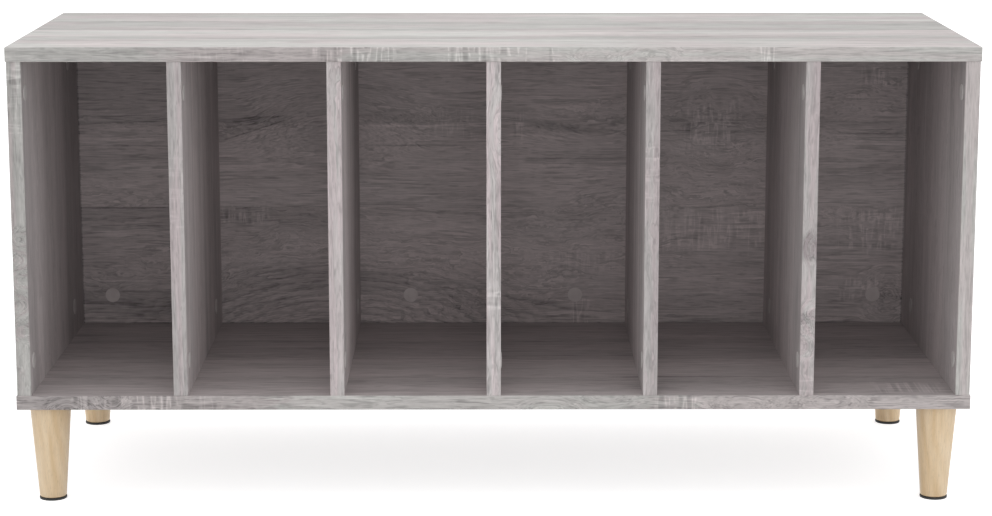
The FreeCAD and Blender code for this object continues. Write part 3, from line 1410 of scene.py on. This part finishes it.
@dataclass
class Studio:
    """The pale floor, the white surroundings, the soft lamps and the camera.

    Attributes:
        floor_glow: What the floor adds to be white where no shadow falls.
        sky: How strong the even light from all round is.
        focal_px: The camera's focal length, in pixels of the photograph.
        far_clip: How far the camera sees.
    """

    floor_half: float = 14.0
    paper: Colour = (0.80, 0.80, 0.80, 1.0)
    floor_glow: float = 0.66
    sky: float = 0.90
    lamps: tuple[Softbox, ...] = (
        Softbox("overhead_softbox", (0.2, -0.6, 3.2), (3.4, 2.6), 16.0),
        Softbox("front_softbox", (0.7, -4.2, 1.1), (3.0, 2.0), 6.0))
    focal_px: float = 2608.9
    far_clip: float = 100.0
    camera_place: Triple = (-0.0075, -2.849, 0.7657)
    tilt_down: float = math.radians(10.678)
    turn_right: float = math.radians(0.213)

    def build(self) -> None:
        """Builds the whole studio."""
        self._floor()
        self._world()
        for lamp in self.lamps:
            lamp.hang()
        self._camera()
        bpy.context.scene.view_settings.view_transform = "Standard"

    def _floor(self) -> None:
        """Lays the floor, white to the camera where no shadow falls."""
        deselect_all()
        bpy.ops.mesh.primitive_plane_add(size=self.floor_half * 2, location=(0.0, 0.0, 0.0))
        floor = bpy.context.object
        floor.name = "studio_floor"
        skin = Skin("pale_floor")
        skin.tree.nodes.remove(skin.shader)
        lit = skin.run("ShaderNodeBsdfDiffuse", self.paper)
        glow = skin.run("ShaderNodeEmission", WHITE, seen_rays(skin) * self.floor_glow)
        skin.feed(skin.tree.nodes["Material Output"].inputs["Surface"],
                  skin.run("ShaderNodeAddShader", lit, glow))
        floor.data.materials.append(skin.material)

    def _world(self) -> None:
        """Sets an even pale sky that is white behind the object."""
        world = bpy.data.worlds.new("white_room")
        bpy.context.scene.world = world
        world.use_nodes = True
        graph = Graph(world.node_tree)
        background = world.node_tree.nodes["Background"].inputs
        graph.feed(background["Color"], WHITE)
        graph.feed(background["Strength"], seen_rays(graph) * (1.0 - self.sky) + self.sky)

    def _camera(self) -> None:
        """Stands the camera where the photograph was taken from."""
        camera = bpy.data.cameras.new("front_view")
        camera.sensor_fit = "HORIZONTAL"
        camera.sensor_width = SENSOR_WIDTH_MM
        camera.lens = self.focal_px * SENSOR_WIDTH_MM / IMAGE_WIDTH
        camera.clip_end = self.far_clip
        bpy.context.scene.camera = stand(
            camera, self.camera_place,
            (math.pi / 2 - self.tilt_down, 0.0, -self.turn_right))


BAND_PRINT = {"contrast": 1.15, "flow": OakFlow(swirl=0.014), "streaks": OakStreaks(130.0),
              "lines": OakLines(210.0, 1.9), "streak_depth": 0.13, "line_depth": 0.2,
              "fibre_depth": 0.14}
# The inner walls' print, in the pinker greys painted as shade.
WALL = {"greys": Greys.WALL, "contrast": 1.6, "line_depth": 0.09, "fibre_depth": 0.08}


def top_panel_finish() -> OakFinish:
    """Prints the top board: four strips, the front one the lightest.

    Returns:
        Its finish.
    """
    return OakFinish(
        "oak_top_panel", Grain.ALONG_WIDTH_FLAT, (0.0, 0.0, 0.0), (0.083, 0.0955),
        lightness=0.95, flow=OakFlow(0.006, 0.004, 0.0012), streaks=OakStreaks(26.0),
        streak_depth=0.12, line_depth=0.13, fibre_depth=0.08,
        bands=(
            Band(0.16, 0.192, -0.08, rise=0.012), Band(0.084, 0.16, 0.02),
            Band(-0.013, 0.083, -0.08), Band(-0.08, -0.013, 0.09, rise=0.01),
            Band(-0.108, -0.08, -0.09, fall=0.012), Band(-0.191, -0.108, 0.03),
            Band(-0.191, -0.125, 0.09, fall=0.03),
        ),
        tones=(Spot(0.35, -0.06, 0.24, 0.15, -0.09), Spot(-0.42, 0.13, 0.12, 0.05, -0.07)),
        marks=(
            Mark(-0.43, 0.082, 0.085, 0.006, 0.32), Mark(-0.33, 0.083, 0.11, 0.006, 0.11),
            Mark(-0.045, -0.0125, 0.12, 0.0045, 0.12), Mark(0.15, -0.108, 0.14, 0.006, 0.17),
            Mark(-0.44, -0.118, 0.11, 0.0055, 0.2),
        ))


def bottom_panel_finish() -> OakFinish:
    """Prints the bays' floor, with a darker line along each seam.

    Returns:
        Its finish.
    """
    return OakFinish(
        "oak_bottom_panel", Grain.ALONG_WIDTH_FLAT, (3.1, 1.3, 0.2), (0.07, 0.088),
        # Its low lightness of 0.785 is painted shade, making the bays' floor darker than the other
        # boards.
        greys=Greys.INNER, lightness=0.785, contrast=1.9, flow=OakFlow(0.006, 0.005, 0.0016),
        saw=SawTicks(3.5), streak_depth=0.08, line_depth=0.11, fibre_depth=0.08,
        tick_depth=0.17, stray_ticks=0.0, ticks=(Spot(0.44, -0.155, 0.04, 0.024, 0.8),),
        bands=(
            Band(0.078, 0.2, 0.05, rise=0.006), Band(0.052, 0.078, -0.05, rise=0.01, fall=0.004),
            Band(-0.018, 0.052, -0.03, fall=0.02), Band(-0.106, -0.018, 0.05, rise=0.03),
            Band(-0.142, -0.104, -0.09, rise=0.008, fall=0.004),
            Band(0.148, 0.18, -0.06, rise=0.01),
        ),
        # This patch is painted shade: the rear of the first bay's floor, darker from about 250 mm
        # deep.
        tones=(Spot(-0.41, 0.09, 0.09, 0.03, -0.13),),
        marks=(
            Mark(-0.4, 0.074, 0.12, 0.0035, 0.1), Mark(0.41, -0.105, 0.09, 0.0035, 0.12),
            Mark(0.19, -0.1045, 0.15, 0.0036, 0.22), Mark(0.14, -0.001, 0.19, 0.0035, 0.14),
            Mark(-0.24, 0.008, 0.09, 0.003, 0.08), Mark(-0.4, -0.1035, 0.08, 0.003, 0.09),
        ))


def back_panel_finish() -> OakFinish:
    """Prints the back board, the liveliest: wedges at the seams, arches and ticks.

    Returns:
        Its finish.
    """
    return OakFinish(
        "oak_back_panel", Grain.ALONG_WIDTH_UPRIGHT, (6.2, 0.4, 0.9), (0.057, 0.1),
        greys=Greys.INNER, contrast=1.6, outside=(-0.178, -0.184),
        flow=OakFlow(0.01, 0.034, 0.0055), lines=OakLines(160.0, 1.25),
        line_depth=0.16, fibre_depth=0.13, tick_depth=0.17,
        bands=(
            # The first band is painted shade: a dark line along the board's bottom edge, where it
            # meets the bays' floor.
            Band(0.1, 0.119, -0.35, fall=0.0006), Band(0.158, 0.196, -0.06, rise=0.01, fall=0.008),
            Band(0.202, 0.236, 0.035, rise=0.008, fall=0.008),
            Band(0.257, 0.282, 0.055, fall=0.018),
        ),
        ticks=(
            Spot(-0.293, 0.248, 0.032, 0.012), Spot(-0.05, 0.356, 0.03, 0.018, 0.6),
            Spot(0.03, 0.348, 0.007, 0.02, 0.9), Spot(0.104, 0.133, 0.012, 0.018, 0.8),
            Spot(0.255, 0.352, 0.036, 0.032), Spot(0.258, 0.23, 0.064, 0.026, 0.8),
            Spot(0.445, 0.23, 0.04, 0.028, 0.9), Spot(0.445, 0.412, 0.016, 0.012),
            Spot(0.432, 0.16, 0.026, 0.016, 0.7), Spot(0.095, 0.192, 0.05, 0.012, 0.5),
        ),
        tones=(
            Spot(-0.33, 0.29, 0.19, 0.3, -0.05), Spot(-0.42, 0.175, 0.09, 0.07, -0.05),
            Spot(-0.25, 0.342, 0.08, 0.016, -0.06), Spot(0.0, 0.29, 0.18, 0.3, 0.04),
            Spot(-0.33, 0.364, 0.19, 0.011, -0.08), Spot(-0.08, 0.361, 0.09, 0.007, -0.14),
            Spot(0.33, 0.36, 0.19, 0.012, -0.05), Spot(-0.33, 0.246, 0.19, 0.014, -0.07),
            Spot(0.0, 0.25, 0.18, 0.01, -0.04), Spot(0.33, 0.24, 0.19, 0.02, 0.06),
            # The first two patches here are partly print and partly painted shade, darker just
            # above the bays' floor.
            Spot(-0.41, 0.138, 0.09, 0.026, -0.12), Spot(0.16, 0.13, 0.36, 0.022, -0.08),
            Spot(-0.297, 0.3535, 0.026, 0.009, -0.15), Spot(-0.262, 0.359, 0.026, 0.0055, -0.15),
            # The last two patches are painted shade: dark lines down the board's ends, where they
            # meet the side panels.
            Spot(-0.4845, 0.29, 0.0022, 0.3, -0.35), Spot(0.4845, 0.29, 0.0022, 0.3, -0.35),
        ),
        bulges=(
            Bulge(-0.18, 0.08, 0.24, 0.2, -0.045), Bulge(-0.19, 0.36, 0.14, 0.075, -0.032),
            Bulge(0.165, 0.265, 0.085, 0.035, -0.018), Bulge(0.12, 0.345, 0.09, 0.03, 0.014),
            Bulge(0.263, 0.388, 0.065, 0.032, -0.013), Bulge(0.263, 0.318, 0.065, 0.032, 0.011),
            Bulge(0.468, 0.172, 0.04, 0.025, -0.014), Bulge(0.468, 0.128, 0.04, 0.025, 0.014),
            Bulge(-0.335, 0.366, 0.06, 0.022, -0.01),
        ),
        knots=(Knot(0.47, 0.15, 0.8, 240.0, 0.02, 0.18, 0.018),
               Knot(-0.175, 0.08, 0.47, 124.0, 0.16, 0.14, 0.011)),
        marks=(
            Mark(-0.275, 0.349, 0.052, 0.0016, 0.2, 0.326),
            Mark(-0.277, 0.3625, 0.052, 0.0013, 0.14, 0.06),
            Mark(-0.275, 0.344, 0.052, 0.0016, -0.07, 0.3),
            Mark(-0.43, 0.3578, 0.07, 0.0022, 0.14, 0.05), Mark(-0.43, 0.3377, 0.08, 0.0015, -0.1),
            Mark(-0.43, 0.33, 0.08, 0.0015, 0.11), Mark(-0.43, 0.256, 0.08, 0.0018, 0.11),
            Mark(-0.44, 0.1685, 0.05, 0.0015, -0.14), Mark(-0.455, 0.1554, 0.045, 0.002, 0.16),
            Mark(-0.45, 0.142, 0.05, 0.0018, 0.14), Mark(-0.09, 0.353, 0.085, 0.002, -0.14),
            Mark(-0.085, 0.33, 0.085, 0.0018, 0.18), Mark(-0.04, 0.3125, 0.045, 0.0015, 0.12),
            Mark(-0.08, 0.2515, 0.085, 0.0026, 0.15, -0.06),
            Mark(0.075, 0.352, 0.07, 0.007, 0.17, -0.13),
            Mark(0.06, 0.34, 0.06, 0.0018, -0.12, -0.08), Mark(0.09, 0.314, 0.08, 0.0018, 0.12),
            Mark(0.12, 0.252, 0.04, 0.0018, 0.14, 0.24),
            Mark(0.056, 0.142, 0.062, 0.0045, 0.16, -0.2),
            Mark(0.05, 0.127, 0.055, 0.004, 0.12, -0.16), Mark(0.295, 0.3455, 0.034, 0.0045, 0.13),
            Mark(0.215, 0.347, 0.03, 0.0016, 0.14), Mark(0.265, 0.3066, 0.024, 0.0035, 0.13),
            Mark(0.26, 0.257, 0.06, 0.0016, 0.12, 0.05), Mark(0.435, 0.3436, 0.055, 0.0018, 0.16),
            Mark(0.435, 0.3405, 0.055, 0.0014, -0.12),
            Mark(-0.265, 0.144, 0.04, 0.002, 0.15, 0.16),
        ))


def top_band_finish() -> OakFinish:
    """Prints the top board's front band, sawn rough left of the middle.

    Returns:
        Its finish.
    """
    return OakFinish(
        "oak_top_band", Grain.ALONG_WIDTH_UPRIGHT, (1.0, 0.3, 0.5),
        **{**BAND_PRINT, "line_depth": 0.17, "streak_depth": 0.1}, lightness=0.95,
        blush=0.6, tick_depth=0.3,
        ticks=(
            Spot(-0.141, 0.476, 0.046, 0.02), Spot(-0.024, 0.476, 0.03, 0.02, 0.9),
            Spot(0.02, 0.476, 0.018, 0.02, 0.9), Spot(0.061, 0.476, 0.005, 0.02, 0.8),
            Spot(0.28, 0.476, 0.012, 0.02, 0.9), Spot(-0.28, 0.476, 0.035, 0.02, 0.3),
        ),
        blushes=(Spot(-0.245, 0.476, 0.11, 0.1, 0.9),),
        tones=(Spot(-0.32, 0.476, 0.23, 0.1, -0.12), Spot(-0.285, 0.476, 0.05, 0.1, -0.05),
               Spot(-0.09, 0.476, 0.12, 0.1, -0.08)),
        bulges=(
            Bulge(0.105, 0.47, 0.04, 0.016, 0.012), Bulge(0.165, 0.48, 0.035, 0.014, -0.008),
        ))


def bottom_band_finish() -> OakFinish:
    """Prints the bottom board's front band, dark and strongly figured at its left end.

    Returns:
        Its finish.
    """
    return OakFinish(
        "oak_bottom_band", Grain.ALONG_WIDTH_UPRIGHT, (2.4, 0.1, 0.3),
        **{**BAND_PRINT, "line_depth": 0.26}, lightness=0.97, blush=0.3,
        tick_depth=0.28,
        ticks=(
            Spot(-0.372, 0.11, 0.046, 0.02), Spot(-0.432, 0.11, 0.01, 0.02, 0.8),
            Spot(-0.3, 0.11, 0.03, 0.02, 0.4), Spot(0.193, 0.11, 0.025, 0.02, 0.8),
        ),
        blushes=(Spot(-0.38, 0.11, 0.17, 0.1, 1.0), Spot(0.37, 0.11, 0.2, 0.1, 1.0)),
        tones=(
            Spot(-0.4, 0.11, 0.19, 0.1, -0.22), Spot(-0.445, 0.105, 0.035, 0.014, -0.12),
            Spot(-0.1, 0.11, 0.9, 0.1, -0.05), Spot(0.33, 0.11, 0.23, 0.1, -0.08),
        ),
        bulges=(
            Bulge(-0.447, 0.103, 0.03, 0.02, -0.02), Bulge(-0.4, 0.11, 0.025, 0.018, 0.012),
            Bulge(0.06, 0.104, 0.045, 0.018, -0.012), Bulge(0.12, 0.116, 0.045, 0.018, 0.012),
            Bulge(0.26, 0.104, 0.055, 0.02, 0.014), Bulge(0.35, 0.116, 0.06, 0.02, -0.014),
        ))


def left_band_finish() -> OakFinish:
    """Prints the left side's front band, with a flame across it half way down.

    Returns:
        Its finish.
    """
    arches = tuple(
        Bulge(height, -0.492, 0.015, 0.024, push)
        for height, push in ((0.284, 0.014), (0.262, -0.014), (0.24, 0.014), (0.214, -0.012),
                             (0.186, 0.014)))
    patches = tuple(
        Spot(height, -0.489, 0.009, 0.01, -0.14)
        for height in (0.29, 0.272, 0.248, 0.222, 0.192))
    return OakFinish(
        "oak_left_band", Grain.ALONG_HEIGHT_FRONT, (0.2, 7.7, 0.1), **BAND_PRINT,
        lightness=0.82, tick_depth=0.24,
        ticks=(Spot(0.453, -0.492, 0.014, 0.02), Spot(0.399, -0.492, 0.005, 0.02),
               Spot(0.425, -0.492, 0.03, 0.02, 0.4)),
        tones=patches + (Spot(0.345, -0.489, 0.04, 0.008, -0.08),),
        bulges=arches)


def divider_band_finish(number: int, x: float) -> OakFinish:
    """Prints the front band of one divider.

    Args:
        number: The divider, counted from the left.
        x: Where its middle stands.

    Returns:
        Its finish.
    """
    lightness = (0.87, 0.97, 1.04, 0.88, 0.85)[number - 1]
    own: dict[str, tuple] = {
        1: {"ticks": (Spot(0.33, x, 0.05, 0.02, 0.45),)},
        2: {},
        3: {"ticks": (Spot(0.22, x, 0.013, 0.02, 0.8),),
            "bulges": (Bulge(0.4, x + 0.004, 0.06, 0.016, 0.01),)},
        4: {"ticks": (Spot(0.375, x, 0.008, 0.02), Spot(0.34, x, 0.018, 0.02, 0.6))},
        5: {"ticks": (Spot(0.128, x, 0.012, 0.02, 0.8),),
            "tones": (Spot(0.276, x - 0.001, 0.016, 0.008, -0.23),
                      Spot(0.242, x, 0.022, 0.012, 0.1), Spot(0.214, x + 0.002, 0.008, 0.008, 0.2),
                      Spot(0.184, x + 0.001, 0.01, 0.007, 0.14),
                      Spot(0.16, x - 0.002, 0.007, 0.007, 0.14),
                      Spot(0.2, x - 0.003, 0.006, 0.006, -0.17)),
            "knots": (Knot(0.27, x + 0.002, 0.3, 420.0, 0.01, 0.11, 0.012),
                      Knot(0.19, x, 0.7, 300.0, 0.016, 0.24, 0.024)),
            "bulges": (Bulge(0.205, x + 0.002, 0.018, 0.02, 0.014),
                       Bulge(0.17, x - 0.002, 0.018, 0.02, -0.014),
                       Bulge(0.274, x, 0.022, 0.014, 0.008))},
    }[number]
    return OakFinish(
        f"oak_divider_band_{number}", Grain.ALONG_HEIGHT_FRONT,
        (1.1 * number, 2.3 * number, 0.2),
        **{**BAND_PRINT, "contrast": 1.35 if number == 3 else 1.08},
        greys=Greys.MIDDLE, lightness=lightness, tick_depth=0.22, **own)


def oak_finishes() -> dict[str, OakFinish]:
    """Chooses each board's and each band's finish.

    Returns:
        The finishes by the name of the node that wears them.
    """
    upright = Grain.ALONG_WIDTH_UPRIGHT
    side = Grain.ALONG_HEIGHT_SIDE
    front = Grain.ALONG_HEIGHT_FRONT
    finishes = {
        "top_panel": top_panel_finish(),
        "bottom_panel": bottom_panel_finish(),
        "back_panel": back_panel_finish(),
        "top_panel_band_front": top_band_finish(),
        "bottom_panel_band_front": bottom_band_finish(),
        "left_side_panel_band_front": left_band_finish(),
        "top_panel_band_rear": OakFinish(
            "oak_top_band_rear", upright, (4.0, 0.3, 0.5), **BAND_PRINT),
        "bottom_panel_band_rear": OakFinish(
            "oak_bottom_band_rear", upright, (5.0, 0.3, 0.5), **BAND_PRINT),
        # The side walls' bands are painted light and shade by depth: lighter over the middle of
        # each wall and darker towards the back panel, the right wall also darker at the front.
        "left_side_panel": OakFinish(
            "oak_left_side", side, (0.4, 4.1, 0.3), (0.072, 0.088), lightness=0.87,
            outside=(0.49, 0.496), streak_depth=0.11, blush=0.5,
            bands=(Band(-0.155, 0.09, 0.26, rise=0.03, fall=0.06),
                   Band(0.06, 0.12, -0.06, rise=0.01, fall=0.02)), **WALL),
        "right_side_panel": OakFinish(
            "oak_right_side", side, (1.5, 5.2, 0.3), (0.072, 0.088), lightness=0.95,
            outside=(-0.49, -0.496), streak_depth=0.11,
            bands=(Band(-0.191, -0.115, -0.11, fall=0.03),
                   Band(-0.11, 0.06, 0.1, rise=0.02, fall=0.06)), **WALL),
        "right_side_panel_band_front": OakFinish(
            "oak_right_band", front, (1.2, 8.8, 0.2), **{**BAND_PRINT, "line_depth": 0.14},
            lightness=0.97),
        "left_side_panel_band_rear": OakFinish(
            "oak_left_band_rear", front, (2.2, 9.8, 0.2), **BAND_PRINT),
        "right_side_panel_band_rear": OakFinish(
            "oak_right_band_rear", front, (3.2, 6.8, 0.2), **BAND_PRINT),
    }
    for panel in ("top_panel", "bottom_panel"):
        for end, shift in (("left", 0.0), ("right", 2.0)):
            finishes[f"{panel}_band_{end}"] = OakFinish(
                f"oak_{panel}_end_{end}", Grain.ALONG_DEPTH, (shift, 3.0 + shift, 0.4),
                **BAND_PRINT)
    # Each divider's bands are painted light and shade by depth: lighter over part of the front and
    # middle of the wall and plainer towards the back panel, the fourth and fifth darker at the
    # very front.
    light_and_shade_bands = {
        1: (Band(-0.14, 0.02, 0.14, rise=0.02, fall=0.04),),
        2: (Band(-0.17, 0.075, 0.32, rise=0.06, fall=0.06),),
        3: (Band(-0.191, -0.1, 0.07, fall=0.04),),
        4: (Band(-0.191, -0.08, -0.12, fall=0.04),
            Band(-0.11, 0.08, 0.14, rise=0.03, fall=0.05)),
        5: (Band(-0.191, -0.105, -0.11, fall=0.03),
            Band(-0.095, 0.08, 0.11, rise=0.03, fall=0.05)),
    }
    for number in range(1, 6):
        low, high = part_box(f"divider_{number}")
        finishes[f"divider_{number}"] = OakFinish(
            f"oak_divider_{number}", side, (2.0 * number, 1.7 * number, 0.6),
            (-0.11 + 0.013 * number, 0.094), lightness=0.95, streaks=OakStreaks(34.0),
            streak_depth=0.13, bands=light_and_shade_bands[number], **WALL)
        finishes[f"divider_{number}_band_front"] = divider_band_finish(
            number, (low.x + high.x) / 2)
    return finishes


def main() -> None:
    """Builds the cabinet's looks and the studio, in order."""
    PackedPieces(oak_finishes()).dress()
    zinc = SolidFinish("zinc_alloy", tint(176, 177, 178), tint(160, 161, 163), 0.38, 1.0)
    steel = SolidFinish("bright_steel", tint(190, 190, 190), tint(172, 173, 176), 0.3, 1.0)
    dowel = SolidFinish("dowel_beech", tint(214, 184, 146), tint(196, 163, 122), 0.7,
                        grit=FineGrit(300.0))
    fittings = {"hanger_bolts": steel, "threaded_inserts": zinc}
    for joint in ("side", "divider", "back"):
        fittings |= {f"{joint}_cam_locks": zinc, f"{joint}_cam_bolts": steel,
                     f"{joint}_dowels": dowel}
    PackedPieces(fittings).dress()
    # The legs' lightnesses are partly the wood's tone and partly painted light: the rear legs, in
    # the cabinet's shade, are painted lighter than the front ones.
    lightnesses = {"front_left": 0.925, "front_right": 0.96, "rear_left": 1.06,
                   "rear_right": 1.06}
    for index, (corner, lightness) in enumerate(lightnesses.items()):
        TurnedLeg(corner).build(LegFinish(
            "beech_" + corner, (0.7 * index, 1.3 * index, 0.0), lightness))
        FloorGlide(corner).build(SolidFinish(
            "glide_plastic_" + corner, tint(38, 38, 39), tint(30, 30, 31), 0.5))
    for node in ("side_cover_caps", "divider_cover_caps"):
        CoverCaps(node).build(SolidFinish(
            "cap_plastic_" + node, tint(203, 199, 197), tint(198, 193, 192), 0.5))
    CoverCaps("back_cover_caps").build(SolidFinish(
        "cap_plastic_back", tint(221, 213, 212), tint(211, 202, 201), 0.5))
    Studio().build()


if __name__ == "__main__":
    logging.basicConfig(level=logging.INFO, format="%(name)s: %(message)s")
    main()
